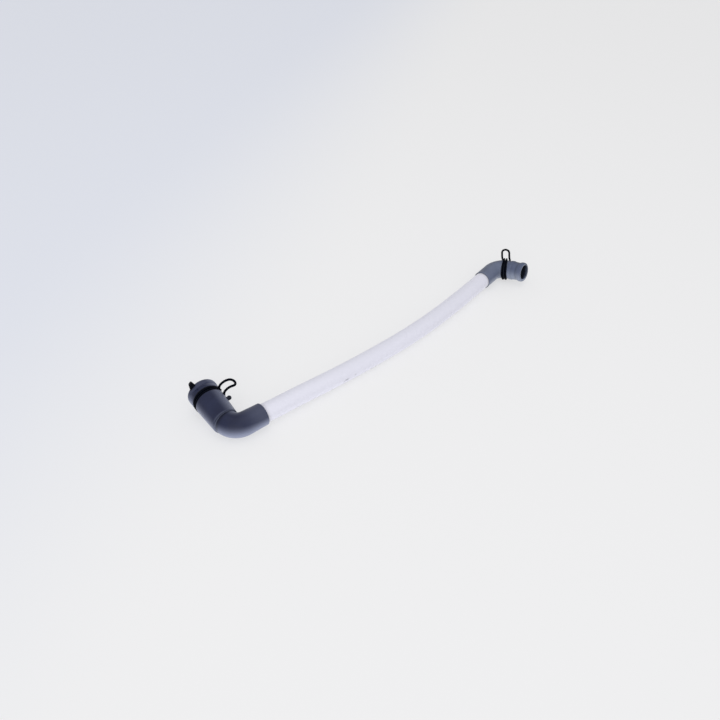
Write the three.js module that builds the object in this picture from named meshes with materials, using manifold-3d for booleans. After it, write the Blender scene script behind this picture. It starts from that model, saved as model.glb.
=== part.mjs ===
// A washing machine hose lying on a flat surface: a smooth plastic tube with a rubber elbow on each end,
// and a double-wire spring clamp on each elbow. Millimetres, +Z up.

import * as THREE from 'three';
import { mergeVertices } from 'three/addons/utils/BufferGeometryUtils.js';
import Module from 'manifold-3d';

// Driving dimensions

const fitGap = 0.3;

const tube = { outer: 11, bore: 9.5, sides: 24, steps: 32, insertion: 20 };

const wire = { sides: 8, steps: 120 };

const roundSides = 40;

// The middle of the hose's outline, measured from the left end of the bare tube.
const outlineMiddle = new THREE.Vector2(197.8, 19.8);

// The tube's centre line, from inside the large cuff to inside the small one. Its first and last stretches
// are straight, because the cuffs hold them, and between them it sags until it lies on the surface.
const tubeRoute = [
    [-20.0, 2.4, 14.65],
    [-10.0, 1.5, 14.65],
    [0.0, 0.6, 14.65],
    [19.2, -1.3, 14.5],
    [38.7, -2.7, 14.0],
    [58.3, -4.2, 13.4],
    [78.0, -5.8, 12.7],
    [97.8, -7.3, 12.1],
    [117.5, -8.7, 11.6],
    [137.0, -10.0, 11.4],
    [156.3, -11.1, 11.3],
    [175.6, -12.0, 11.3],
    [195.0, -12.7, 11.3],
    [214.4, -13.0, 11.3],
    [233.7, -12.8, 11.3],
    [253.0, -12.2, 11.3],
    [272.3, -11.1, 11.3],
    [291.5, -9.7, 11.4],
    [310.5, -8.0, 11.7],
    [329.4, -6.2, 12.1],
    [348.4, -4.2, 12.6],
    [367.4, -1.9, 12.9],
    [386.4, 0.7, 13.0],
    [396.3, 2.1, 13.0],
    [406.2, 3.4, 13.0],
];

// Each elbow starts at the lip of its cuff. Headings are degrees from +X, and roll lifts the far arm.
const largeElbow = {
    lip: [0, 0.6, 14.65],
    heading: 175.0,
    roll: 3.3,
    cuffLength: 22.6,
    bendRadius: 15.6,
    sweep: 93.8,
    armLength: 54.3,
    lipRadius: 13.0,
    bendRadiusOutside: 14.3,
    shoulderRadius: 15.4,
    shoulderFromMouth: 56.4,
    bodyRadius: 17.2,
    rimRadius: 17.9,
    ridgeRadius: 17.6,
    seatRadius: 14.6,
    armBore: { shoulder: 12.4, mouth: 13.8 },
};

const smallElbow = {
    lip: [386.4, 0.7, 13.0],
    heading: 7.9,
    roll: 10.2,
    cuffLength: 26.1,
    bendRadius: 17.1,
    sweep: 90.3,
    armLength: 25.1,
    lipRadius: 12.1,
    bendRadiusOutside: 12.2,
    armRadius: 12.5,
    ringRadius: 13.1,
    neckRadius: 12.0,
    beadRadius: 13.3,
    mouthRadius: 12.2,
};

// Round a clamp's wire, 0 degrees is the top of the arm and 90 degrees is its side away from the loop. The
// loop's points are pairs, how far out to the loop's side and how far up, from the arm's centre line.
// Distances along the arm are measured from its mouth. Lean and skew tip the ring, in degrees.
const largeClamp = {
    fromMouth: 16.5,
    loopSide: 1,
    lean: 0,
    skew: 0,
    ringRadius: 16.3,
    freeEndAngle: -56,
    leaveAngle: 284,
    wireRadius: 1.4,
    spreadFrom: 170,
    openFrom: -56,
    openTo: 60,
    halfGap: 1.75,
    freeEndHalfGap: 1.75,
    loopHalfWidth: 5.8,
    loopShift: -2.1,
    outerLegRadius: 16.0,
    freeEndRise: 1.8,
    loop: [[15.7, 8.2], [17.0, 11.0], [20.2, 13.2], [24.2, 14.2]],
    loopCentre: [27.6, 13.9],
    loopTip: [32.4, 13.1],
};

const smallClamp = {
    fromMouth: 29.2,
    loopSide: -1,
    lean: 2.7,
    skew: 5.1,
    ringRadius: 13.75,
    freeEndAngle: -14,
    leaveAngle: 322,
    wireRadius: 1.35,
    spreadFrom: 175,
    openFrom: 0,
    openTo: 60,
    halfGap: 1.9,
    freeEndHalfGap: 1.6,
    loopHalfWidth: 5.0,
    loopShift: 0,
    outerLegRadius: 13.75,
    freeEndRise: 1.4,
    loop: [[5.9, 14.4], [4.9, 16.7], [4.5, 19.4]],
    loopCentre: [4.4, 23.3],
    loopTip: [4.3, 28.3],
};

const nub = { fromMouth: 29.5, angle: -78, radius: 2.6, neckRadius: 1.9, reach: 21.9 };

const tab = { angle: 39, rootHalfWidth: 4.3, tipHalfWidth: 2.0, height: 8.8, thickness: 3.4, lean: -3.4 };

// Materials

const paleTube = new THREE.MeshStandardMaterial({ color: 0xdcdce8, roughness: 0.35, metalness: 0 });
const slateRubber = new THREE.MeshStandardMaterial({ color: 0x3b4257, roughness: 0.5, metalness: 0 });
const greyRubber = new THREE.MeshStandardMaterial({ color: 0x555c75, roughness: 0.5, metalness: 0 });
const blackWire = new THREE.MeshStandardMaterial({ color: 0x07090e, roughness: 0.4, metalness: 0.6 });

// Solids

const wasm = await Module();
wasm.setup();

function bareGeometry(geometry) {
    const bare = geometry.clone();
    bare.deleteAttribute('normal');
    bare.deleteAttribute('uv');
    return mergeVertices(bare, 1e-4);
}

function toSolid(geometry) {
    const bare = bareGeometry(geometry);
    return new wasm.Manifold(new wasm.Mesh({
        numProp: 3,
        vertProperties: new Float32Array(bare.attributes.position.array),
        triVerts: new Uint32Array(bare.index.array),
    }));
}

function toGeometry(solid) {
    const { vertProperties, triVerts } = solid.getMesh();
    const geometry = new THREE.BufferGeometry();
    geometry.setAttribute('position', new THREE.BufferAttribute(vertProperties, 3));
    geometry.setIndex(new THREE.BufferAttribute(triVerts, 1));
    geometry.computeVertexNormals();
    return geometry;
}

function smoothRise(value, low, high) {
    return THREE.MathUtils.smoothstep(value, low, high);
}

// The centre line of an elbow: straight through the cuff, round about a quarter circle to the right, then
// straight down the arm. At any distance from the lip it gives a place and three directions, along, inward
// and across.
class ElbowLine {

    constructor({ lip, heading, roll, cuffLength, bendRadius, sweep, armLength }) {
        this.lip = new THREE.Vector3(...lip);
        this.cuffLength = cuffLength;
        this.bendRadius = bendRadius;
        this.bendLength = bendRadius * THREE.MathUtils.degToRad(sweep);
        this.length = cuffLength + this.bendLength + armLength;
        const angle = THREE.MathUtils.degToRad(heading);
        const lift = THREE.MathUtils.degToRad(roll);
        this.along = new THREE.Vector3(Math.cos(angle), Math.sin(angle), 0);
        const level = new THREE.Vector3(Math.sin(angle), -Math.cos(angle), 0);
        this.inward = level.multiplyScalar(Math.cos(lift)).add(new THREE.Vector3(0, 0, Math.sin(lift)));
    }

    at(distance) {
        const past = distance - this.cuffLength;
        const bent = THREE.MathUtils.clamp(past, 0, this.bendLength) / this.bendRadius;
        const along = this.along.clone().multiplyScalar(Math.cos(bent))
            .addScaledVector(this.inward, Math.sin(bent));
        const inward = this.inward.clone().multiplyScalar(Math.cos(bent))
            .addScaledVector(this.along, -Math.sin(bent));
        const straight = Math.min(distance, this.cuffLength);
        const place = this.lip.clone()
            .addScaledVector(this.along, straight + this.bendRadius * Math.sin(bent))
            .addScaledVector(this.inward, this.bendRadius * (1 - Math.cos(bent)))
            .addScaledVector(along, Math.max(past - this.bendLength, 0));
        return { place, along, inward, across: inward.clone().cross(along) };
    }

    // The frame of the arm for what sits on it: out of its mouth, up, and to the side.
    armFrame(fromMouth) {
        const { place, along } = this.at(this.length - fromMouth);
        const up = new THREE.Vector3(0, 0, 1).addScaledVector(along, -along.z).normalize();
        return { place, along, up, side: up.clone().cross(along) };
    }

}

// A closed section is turned round a straight axis, and the turned form is then bent to the elbow's line.
function bentTurning(section, line) {
    const geometry = new THREE.LatheGeometry(section, roundSides);
    const position = geometry.attributes.position;
    const point = new THREE.Vector3();
    for (let i = 0; i < position.count; i += 1) {
        point.fromBufferAttribute(position, i);
        const { place, inward, across } = line.at(point.y);
        place.addScaledVector(inward, point.x).addScaledVector(across, point.z);
        position.setXYZ(i, place.x, place.y, place.z);
    }
    return geometry;
}

// Section points through the bend, a short step apart, from one radius to the other.
function bendStations(line, fromRadius, toRadius, count, end = 1) {
    const stations = [];
    for (let i = 0; i <= count; i += 1) {
        const share = i / count * end;
        const radius = THREE.MathUtils.lerp(fromRadius, toRadius, share);
        stations.push(new THREE.Vector2(radius, line.cuffLength + share * line.bendLength));
    }
    return stations;
}

// A section closes on itself: up the outside from lip to mouth, and back down the bore.
function closedSection(outside, inside) {
    const section = [...outside, ...inside.reverse()];
    section.push(section[0].clone());
    return section;
}

function fromMouth(line, pairs) {
    return pairs.map(([radius, distance]) => new THREE.Vector2(radius, line.length - distance));
}

function largeElbowSection(line) {
    const e = largeElbow;
    const socketEnd = tube.insertion + fitGap;
    const outside = [
        new THREE.Vector2(e.lipRadius - 0.5, 0),
        new THREE.Vector2(e.lipRadius, 0.8),
        new THREE.Vector2(e.lipRadius + 0.1, 8),
        ...bendStations(line, e.lipRadius + 0.6, e.bendRadiusOutside, 12, 0.9),
        ...fromMouth(line, [
            [e.bendRadiusOutside, e.shoulderFromMouth + 0.2],
            [e.shoulderRadius - 0.3, e.shoulderFromMouth],
            [e.shoulderRadius, e.shoulderFromMouth - 0.8],
            [e.bodyRadius, 21.3],
            [e.bodyRadius - 0.1, 20.0],
            [e.seatRadius, 19.2],
            [e.seatRadius, 13.0],
            [e.bodyRadius - 0.1, 12.2],
            [e.ridgeRadius, 11.2],
            [e.ridgeRadius, 9.2],
            [e.ridgeRadius - 0.8, 7.6],
            [e.rimRadius - 0.3, 6.0],
            [e.rimRadius, 4.2],
            [e.rimRadius, 1.6],
            [e.rimRadius - 0.5, 0.5],
            [e.rimRadius - 1.3, 0],
        ]),
    ];
    const inside = [
        new THREE.Vector2(tube.outer + fitGap, 0),
        new THREE.Vector2(tube.outer + fitGap, socketEnd),
        new THREE.Vector2(tube.bore, socketEnd),
        ...bendStations(line, tube.bore, tube.bore, 12),
        ...fromMouth(line, [
            [tube.bore, 53.2],
            [e.armBore.shoulder, 50.5],
            [e.armBore.mouth, 6],
            [e.armBore.mouth + 0.6, 0],
        ]),
    ];
    return closedSection(outside, inside);
}

function smallElbowSection(line) {
    const e = smallElbow;
    const socketEnd = tube.insertion + fitGap;
    const outside = [
        new THREE.Vector2(e.lipRadius - 0.3, 0),
        new THREE.Vector2(e.lipRadius, 1.0),
        new THREE.Vector2(e.lipRadius - 0.1, 6),
        ...bendStations(line, e.bendRadiusOutside, e.armRadius, 12),
        ...fromMouth(line, [
            [e.armRadius, 21.0],
            [e.ringRadius, 19.8],
            [e.ringRadius, 16.6],
            [e.armRadius, 15.2],
            [e.neckRadius + 0.2, 11.0],
            [e.neckRadius, 8.2],
            [e.beadRadius - 0.5, 5.8],
            [e.beadRadius, 3.9],
            [e.beadRadius, 2.3],
            [e.mouthRadius + 0.4, 0.6],
            [e.mouthRadius - 0.4, 0],
        ]),
    ];
    const inside = [
        new THREE.Vector2(tube.outer + fitGap, 0),
        new THREE.Vector2(tube.outer + fitGap, socketEnd),
        new THREE.Vector2(tube.bore, socketEnd),
        ...bendStations(line, tube.bore, tube.bore, 12),
        ...fromMouth(line, [
            [tube.bore, 1.2],
            [tube.bore + 0.7, 0],
        ]),
    ];
    return closedSection(outside, inside);
}

// Places a shape made round the local Y axis so that it points out of the arm at the given angle.
function standOut(geometry, frame, angle) {
    const turned = THREE.MathUtils.degToRad(angle);
    const out = frame.up.clone().multiplyScalar(Math.cos(turned))
        .addScaledVector(frame.side, Math.sin(turned));
    const along = frame.along.clone();
    const basis = new THREE.Matrix4().makeBasis(out.clone().cross(along), out, along);
    return geometry.clone().applyMatrix4(basis.setPosition(frame.place));
}

// A short round peg with a wider rounded head, moulded on the arm's side.
function nubGeometry() {
    const root = largeElbow.bodyRadius - 1.2;
    const headBase = nub.reach - 2 * nub.radius + 0.9;
    const section = [
        new THREE.Vector2(0, root),
        new THREE.Vector2(nub.neckRadius, root),
        new THREE.Vector2(nub.neckRadius, headBase - 0.6),
        new THREE.Vector2(nub.radius * 0.85, headBase),
    ];
    const centre = nub.reach - nub.radius;
    for (let i = 0; i <= 5; i += 1) {
        const angle = i / 5 * Math.PI / 2;
        section.push(new THREE.Vector2(nub.radius * Math.cos(angle), centre + nub.radius * Math.sin(angle)));
    }
    return new THREE.LatheGeometry(section, 16);
}

// A small pointed ear on the rim of the mouth.
function tabGeometry() {
    const root = largeElbow.rimRadius - 1.6;
    const outline = new THREE.Shape();
    outline.moveTo(-tab.rootHalfWidth, root);
    outline.lineTo(tab.rootHalfWidth, root);
    outline.lineTo(tab.lean + tab.tipHalfWidth, root + tab.height);
    outline.lineTo(tab.lean - tab.tipHalfWidth, root + tab.height + 0.8);
    outline.closePath();
    const geometry = new THREE.ExtrudeGeometry(outline, { depth: tab.thickness, bevelEnabled: false });
    return geometry.translate(0, 0, -tab.thickness - 0.4);
}

// The frame of a clamp's ring: the arm's frame, tipped by lean about the side and by skew about the upright,
// with its side turned to face away from the loop.
function ringFrame(clamp, line) {
    const { place, along, up, side } = line.armFrame(clamp.fromMouth);
    const lean = THREE.MathUtils.degToRad(clamp.lean);
    const skew = THREE.MathUtils.degToRad(clamp.skew);
    along.applyAxisAngle(side, lean);
    up.applyAxisAngle(side, lean);
    along.applyAxisAngle(up, skew);
    side.applyAxisAngle(up, skew);
    return { place, along, up, side: side.multiplyScalar(clamp.loopSide) };
}

// The wire of a clamp as one curve. Half of it runs from a free end round the arm to the tip of the loop,
// and the other half is the same half seen in a mirror, but for the radius of its leg.
function clampCurve(clamp, frame) {
    const half = (sign) => {
        const points = [];
        const put = (out, up, offset) => {
            points.push(frame.place.clone()
                .addScaledVector(frame.side, -out)
                .addScaledVector(frame.up, up)
                .addScaledVector(frame.along, offset));
        };
        const legRadius = sign > 0 ? clamp.ringRadius : clamp.outerLegRadius;
        const end = THREE.MathUtils.degToRad(clamp.freeEndAngle);
        const endOut = clamp.ringRadius + clamp.freeEndRise;
        const lean = THREE.MathUtils.degToRad(5);
        put(-endOut * Math.sin(end - lean), endOut * Math.cos(end - lean), sign * clamp.freeEndHalfGap);
        const turns = 22;
        for (let i = 0; i <= turns; i += 1) {
            const degrees = THREE.MathUtils.lerp(clamp.freeEndAngle + 4, clamp.leaveAngle, i / turns);
            const angle = THREE.MathUtils.degToRad(degrees);
            const spread = smoothRise(degrees, clamp.spreadFrom, clamp.leaveAngle);
            const open = smoothRise(degrees, clamp.openFrom, clamp.openTo);
            const gap = THREE.MathUtils.lerp(clamp.freeEndHalfGap, clamp.halfGap, open);
            const legOffset = sign * clamp.loopHalfWidth + clamp.loopShift;
            const offset = THREE.MathUtils.lerp(sign * gap, legOffset, spread);
            const radius = THREE.MathUtils.lerp(clamp.ringRadius, legRadius, spread);
            put(-radius * Math.sin(angle), radius * Math.cos(angle), offset);
        }
        for (const [out, up] of clamp.loop) {
            put(out, up, sign * clamp.loopHalfWidth + clamp.loopShift);
        }
        for (const degrees of [20, 50]) {
            const angle = THREE.MathUtils.degToRad(degrees);
            const reach = Math.sin(angle);
            put(
                THREE.MathUtils.lerp(clamp.loopCentre[0], clamp.loopTip[0], reach),
                THREE.MathUtils.lerp(clamp.loopCentre[1], clamp.loopTip[1], reach),
                sign * clamp.loopHalfWidth * Math.cos(angle) + clamp.loopShift,
            );
        }
        return points;
    };
    const tip = frame.place.clone()
        .addScaledVector(frame.side, -clamp.loopTip[0])
        .addScaledVector(frame.up, clamp.loopTip[1])
        .addScaledVector(frame.along, clamp.loopShift);
    return new THREE.CatmullRomCurve3([...half(1), tip, ...half(-1).reverse()], false, 'centripetal');
}

function wireGeometry(curve, radius) {
    const section = new THREE.Shape();
    section.absarc(0, 0, radius, 0, 2 * Math.PI);
    return new THREE.ExtrudeGeometry(section, {
        steps: wire.steps,
        curveSegments: wire.sides / 2,
        bevelEnabled: false,
        extrudePath: curve,
    });
}

// The pieces

function hoseTube() {
    const points = tubeRoute.map(([x, y, z]) => new THREE.Vector3(x, y, z));
    const section = new THREE.Shape();
    section.absarc(0, 0, tube.outer, 0, 2 * Math.PI);
    const bore = new THREE.Path();
    bore.absarc(0, 0, tube.bore, 0, 2 * Math.PI, true);
    section.holes.push(bore);
    const geometry = new THREE.ExtrudeGeometry(section, {
        steps: tube.steps,
        curveSegments: tube.sides / 2,
        bevelEnabled: false,
        extrudePath: new THREE.CatmullRomCurve3(points, false, 'centripetal'),
    });
    return new THREE.Mesh(geometry, paleTube);
}

// The clamp's wire beds into the rubber, so its path is cut out of the elbow with a little room to spare.
function bedded(elbow, clamp, curve) {
    return elbow.subtract(toSolid(wireGeometry(curve, clamp.wireRadius + fitGap)));
}

const largeLine = new ElbowLine(largeElbow);
const smallLine = new ElbowLine(smallElbow);
const largeCurve = clampCurve(largeClamp, ringFrame(largeClamp, largeLine));
const smallCurve = clampCurve(smallClamp, ringFrame(smallClamp, smallLine));

function largeElbowMesh() {
    const moulding = toSolid(bentTurning(largeElbowSection(largeLine), largeLine));
    const peg = toSolid(standOut(nubGeometry(), largeLine.armFrame(nub.fromMouth), nub.angle));
    const ear = toSolid(standOut(tabGeometry(), largeLine.armFrame(0), tab.angle));
    const solid = bedded(moulding.add(peg).add(ear), largeClamp, largeCurve);
    return new THREE.Mesh(toGeometry(solid), slateRubber);
}

function smallElbowMesh() {
    const moulding = toSolid(bentTurning(smallElbowSection(smallLine), smallLine));
    return new THREE.Mesh(toGeometry(bedded(moulding, smallClamp, smallCurve)), greyRubber);
}

const hose = new THREE.Group();
const pieces = {
    hose_tube: hoseTube(),
    large_elbow: largeElbowMesh(),
    small_elbow: smallElbowMesh(),
    large_clamp: new THREE.Mesh(wireGeometry(largeCurve, largeClamp.wireRadius), blackWire),
    small_clamp: new THREE.Mesh(wireGeometry(smallCurve, smallClamp.wireRadius), blackWire),
};
for (const [name, piece] of Object.entries(pieces)) {
    piece.name = name;
    hose.add(piece);
}
hose.position.set(-outlineMiddle.x, -outlineMiddle.y, 0);

export default hose;
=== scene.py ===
"""Dresses a washing machine hose that lies on a pale table.

The hose is a pale plastic tube with a rubber elbow and a black spring wire clamp on each end. Lengths are in
metres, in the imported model's own frame, with +Z up and the table at zero height.
"""

import logging
from abc import ABC, abstractmethod
from dataclasses import dataclass, field
from enum import Enum

import bpy
import numpy as np
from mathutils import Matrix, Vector
from numpy.typing import NDArray


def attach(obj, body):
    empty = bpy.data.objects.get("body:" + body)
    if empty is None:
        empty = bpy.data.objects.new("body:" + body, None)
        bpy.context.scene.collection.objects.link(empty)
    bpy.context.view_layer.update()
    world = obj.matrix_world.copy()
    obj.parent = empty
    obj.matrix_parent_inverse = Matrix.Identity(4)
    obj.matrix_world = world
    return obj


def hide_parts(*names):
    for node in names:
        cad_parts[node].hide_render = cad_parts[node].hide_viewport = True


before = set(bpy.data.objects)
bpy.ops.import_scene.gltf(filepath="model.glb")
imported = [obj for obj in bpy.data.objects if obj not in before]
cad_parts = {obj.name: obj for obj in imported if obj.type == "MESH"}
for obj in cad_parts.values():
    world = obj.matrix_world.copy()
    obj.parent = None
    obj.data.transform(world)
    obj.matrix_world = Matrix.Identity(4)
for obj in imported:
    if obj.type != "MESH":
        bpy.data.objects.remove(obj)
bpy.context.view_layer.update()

Array = NDArray[np.float64]
Mask = NDArray[np.bool_]
Quads = NDArray[np.int64]
Place = tuple[float, float, float]
Colour = tuple[float, float, float]
Span = tuple[float, float]
Corners = list[tuple[float, float]]
Piece = bpy.types.Object
Socket = bpy.types.NodeSocket
Material = bpy.types.Material

BODY = "root"
LOG = logging.getLogger("hose")
UPRIGHT = np.array([0.0, 0.0, 1.0])

# Where the bare tube starts, at the lip of the large elbow's cuff, and where it ends.
TUBE_START: Place = (-0.1978, -0.0192, 0.01465)
TUBE_END: Place = (0.1886, -0.0191, 0.0130)
TUBE_RADIUS = 0.011
TUBE_BORE = 0.0095
TUBE_INSERTION = 0.020

# The room that a cuff's socket leaves round the tube and past its end.
SOCKET_CLEARANCE = 0.0002
SOCKET_END_CLEARANCE = 0.0003

# How many fine samples of a curve are taken for each one that is kept.
FINE_STEPS = 12

# How many samples an outline has while its corners are rounded, and by how much the kept ones are denser
# where it turns the most than on the straight.
OUTLINE_SAMPLES = 8192
CORNER_DENSITY = 5.0

# How many points round an elbow has, and how many of its section's points past the mouth count as its rim.
ELBOW_SIDES = 112
RIM_POINTS = 8

# How far from a wire rubber starts to give, how dark its painted shade is right beside the wire, and how many
# of its points are measured against the wire at once.
PRESS_SOFTNESS = 0.0004
WIRE_DARKEST = 0.12
POINTS_AT_ONCE = 4000

# Between which shares of facing straight down, and straight to the right, an elbow's outside turns pale.
# This pale is a painted reflection of the bright table.
PAINTED_REFLECTION_DOWN: Span = (-0.65, 0.55)
PAINTED_REFLECTION_RIGHT: Span = (-0.05, 0.9)

# The tube's centre line, from inside the large cuff to inside the small one.
TUBE_ROUTE: list[Place] = [
    (-0.2178, -0.0174, 0.01465),
    (-0.2078, -0.0183, 0.01465),
    (-0.1978, -0.0192, 0.01465),
    (-0.1786, -0.0211, 0.0145),
    (-0.1591, -0.0225, 0.0140),
    (-0.1395, -0.0240, 0.0134),
    (-0.1198, -0.0256, 0.0127),
    (-0.1000, -0.0271, 0.0121),
    (-0.0803, -0.0285, 0.0116),
    (-0.0608, -0.0298, 0.0114),
    (-0.0415, -0.0309, 0.0113),
    (-0.0222, -0.0318, 0.0113),
    (-0.0028, -0.0325, 0.0113),
    (0.0166, -0.0328, 0.0113),
    (0.0359, -0.0326, 0.0113),
    (0.0552, -0.0320, 0.0113),
    (0.0745, -0.0309, 0.0113),
    (0.0937, -0.0295, 0.0114),
    (0.1127, -0.0278, 0.0117),
    (0.1316, -0.0260, 0.0121),
    (0.1506, -0.0240, 0.0126),
    (0.1696, -0.0217, 0.0129),
    (0.1886, -0.0191, 0.0130),
    (0.1985, -0.0177, 0.0130),
    (0.2084, -0.0164, 0.0130),
]


class Slot(Enum):
    """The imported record's material slots."""

    TUBE = "tube_plastic"
    SLATE = "slate_rubber"
    GREY = "grey_rubber"
    WIRE = "black_wire"


class LoopSide(Enum):
    """Which side of its arm a clamp's loop stands on, as a factor on the arm's sideways direction."""

    AWAY = -1.0
    NEAR = 1.0


# Small helpers


def unit(vectors: Array) -> Array:
    """Gives each vector the length one."""
    return vectors / np.linalg.norm(vectors, axis=-1, keepdims=True)


def smooth_rise(value: Array, low: float, high: float) -> Array:
    """Rises from zero at low to one at high as three times the square less twice the cube.

    Args:
        value: Where to work it out.
        low: The value at which the rise starts.
        high: The value at which it is complete.

    Returns:
        The risen share, from zero to one, in the shape of value.
    """
    share = np.clip((value - low) / (high - low), 0.0, 1.0)
    return share * share * (3.0 - 2.0 * share)


def linear(red: int, green: int, blue: int) -> Colour:
    """Turns a colour as a screen shows it into the linear one that shaders take.

    That is a straight line near black, and above it the power 2.4 of the shown value.

    Args:
        red: The shown red, 0 to 255.
        green: The shown green.
        blue: The shown blue.

    Returns:
        The linear colour, each channel from zero to one.
    """
    shown = np.array([red, green, blue]) / 255.0
    low = shown / 12.92
    high = ((shown + 0.055) / 1.055) ** 2.4
    return tuple(float(c) for c in np.where(shown <= 0.04045, low, high))


def run_along(line: Array) -> Array:
    """Gives how far along a polyline each of its points is."""
    return np.concatenate([[0.0], np.cumsum(np.linalg.norm(np.diff(line, axis=0), axis=1))])


def even_steps(line: Array, count: int) -> Array:
    """Samples a fine polyline again at even steps of its length.

    Args:
        line: The polyline's points, one a row.
        count: How many samples to give.

    Returns:
        The samples, one a row.
    """
    run = run_along(line)
    wanted = np.linspace(0.0, run[-1], count)
    return np.stack([np.interp(wanted, run, line[:, axis]) for axis in range(3)], axis=1)


def route_curve(points: Array, count: int) -> Array:
    """Carries a smooth curve through the points and samples it at even steps of its length.

    The curve is a Catmull-Rom one whose knots are spaced by the square root of the distance between points.
    Each sample is blended from its four nearest points, by three rounds of straight blends in knot value.

    Args:
        points: The points to pass through, one a row.
        count: How many samples to give.

    Returns:
        The samples, one a row, from the first point to the last.
    """
    before = 2.0 * points[:1] - points[1:2]
    after = 2.0 * points[-1:] - points[-2:-1]
    padded = np.concatenate([before, points, after])
    chords = np.linalg.norm(np.diff(padded, axis=0), axis=1)
    knots = np.concatenate([[0.0], np.cumsum(np.sqrt(chords))])
    fine = np.linspace(knots[1], knots[-2], count * FINE_STEPS)
    first = np.clip(np.searchsorted(knots, fine, side="right") - 1, 1, len(padded) - 3)
    value = fine[:, None]
    stops = [knots[first + step][:, None] for step in (-1, 0, 1, 2)]
    corner = [padded[first + step] for step in (-1, 0, 1, 2)]

    def blend(a: Array, b: Array, start: Array, end: Array) -> Array:
        """Blends from a at start to b at end."""
        return ((end - value) * a + (value - start) * b) / (end - start)

    low = blend(corner[0], corner[1], stops[0], stops[1])
    middle = blend(corner[1], corner[2], stops[1], stops[2])
    high = blend(corner[2], corner[3], stops[2], stops[3])
    left = blend(low, middle, stops[0], stops[2])
    right = blend(middle, high, stops[1], stops[3])
    return even_steps(blend(left, right, stops[1], stops[2]), count)


def rounded_section(corners: Array, rounding: float, count: int) -> Array:
    """Rounds the corners of a closed outline and samples it most densely where it turns.

    The outline is sampled at even steps and blurred by a bell curve as wide as rounding. The density of the
    samples kept is one, plus a factor times the root of how sharply it turns there, as a share of the most.

    Args:
        corners: The outline's corners, one a row, without repeating the first.
        rounding: The width of the bell curve, which is about the radius of a rounded corner.
        count: How many samples to keep.

    Returns:
        The samples, one a row, as a closed outline that doesn't repeat its first.
    """
    closed = np.concatenate([corners, corners[:1]])
    run = run_along(closed)
    fine = np.linspace(0.0, run[-1], OUTLINE_SAMPLES, endpoint=False)
    waves = np.fft.fftfreq(len(fine), d=run[-1] / len(fine))

    def blurred(values: Array, width: float) -> Array:
        """Gives each value the mean of its neighbours in its row, weighted by a bell curve of that width."""
        return np.fft.ifft(np.fft.fft(values) * np.exp(-2.0 * (np.pi * width * waves) ** 2)).real

    samples = blurred(np.stack([np.interp(fine, run, closed[:, axis]) for axis in range(2)]), rounding).T
    heading = unit(np.roll(samples, -1, axis=0) - samples)
    turning = np.linalg.norm(heading - np.roll(heading, 1, axis=0), axis=1)
    turning = blurred(turning, 2.0 * rounding).clip(0.0)
    density = 1.0 + CORNER_DENSITY * np.sqrt(turning / turning.max())
    share = np.concatenate([[0.0], np.cumsum(density)])
    wanted = np.linspace(0.0, share[-1], count, endpoint=False)
    looped = np.concatenate([samples, samples[:1]])
    return np.stack([np.interp(wanted, share, looped[:, axis]) for axis in range(2)], axis=1)


# Meshes from grids


def ring_spokes(rings: Array) -> Array:
    """Gives the direction from the middle of its own ring to each point."""
    return unit(rings - rings.mean(axis=1, keepdims=True))


def grid_normals(rings: Array) -> Array:
    """Gives the direction square to a closed grid's surface at each of its points.

    It is the cross product of the steps to the neighbours along the two directions of the grid.

    Args:
        rings: The points as an array of rings by sides by three.

    Returns:
        The directions, in the shape of rings, on average away from the rings' middles.
    """
    down = np.roll(rings, -1, axis=0) - np.roll(rings, 1, axis=0)
    round_about = np.roll(rings, -1, axis=1) - np.roll(rings, 1, axis=1)
    normals = unit(np.cross(round_about, down))
    outward = np.einsum("ijk,ijk->ij", normals, ring_spokes(rings)).mean(axis=1)
    return normals * np.sign(outward)[:, None, None]


def grid_quads(rows: int, columns: int, closed_rows: bool) -> Quads:
    """Lists the four-cornered faces of a grid whose columns close on themselves.

    Args:
        rows: How many rows of points the grid has.
        columns: How many points a row has.
        closed_rows: Whether the last row also joins the first.

    Returns:
        One face a row, as four point numbers.
    """
    row = np.arange(rows if closed_rows else rows - 1)[:, None]
    column = np.arange(columns)[None, :]
    next_row = (row + 1) % rows
    next_column = (column + 1) % columns
    corners = [
        row * columns + column,
        row * columns + next_column,
        next_row * columns + next_column,
        next_row * columns + column,
    ]
    return np.stack(np.broadcast_arrays(*corners), axis=-1).reshape(-1, 4)


def facing_out(points: Array, quads: Quads) -> Quads:
    """Turns a closed shell's faces over if they face inwards, which is when their volume is negative.

    Args:
        points: The shell's points, one a row.
        quads: Its faces, one a row.

    Returns:
        The faces, all of them facing outwards.
    """
    a, b, c, d = (points[quads[:, corner]] for corner in range(4))
    volume = np.einsum("ij,ij->i", a, np.cross(b, c) + np.cross(c, d)).sum()
    return quads if volume > 0.0 else quads[:, ::-1]


def put_mesh(name: str, points: Array, quads: Quads, shade: Array | None = None,
             pale: Array | None = None) -> Piece:
    """Makes a smooth-shaded object from points and faces. A face whose last two corners agree is a triangle.

    Args:
        name: The piece's name.
        points: The points, one a row.
        quads: The faces, one a row.
        shade: How dark each point's finish is drawn, one for as it is and less for darker: painted shade,
            painted light and scuffs.
        pale: How far each point's finish is blended to its pale colour, from zero to one, as painted light.

    Returns:
        The object, at the origin, with its place in its mesh.
    """
    quads = facing_out(points, quads)
    corners = [tuple(dict.fromkeys(face)) for face in quads.tolist()]
    mesh = bpy.data.meshes.new(name)
    mesh.from_pydata(points.tolist(), [], corners)
    mesh.polygons.foreach_set("use_smooth", np.ones(len(corners), dtype=bool))
    # The shade layer holds painted shade, painted light and the tube's scuffs; the pale layer holds painted
    # light.
    for layer_name, values, plain in (("shade", shade, 1.0), ("pale", pale, 0.0)):
        layer = mesh.attributes.new(layer_name, "FLOAT", "POINT")
        filled = np.full(len(points), plain) if values is None else values
        layer.data.foreach_set("value", filled.astype(np.float32))
    mesh.update()
    piece = bpy.data.objects.new(name, mesh)
    bpy.context.scene.collection.objects.link(piece)
    return piece


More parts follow.
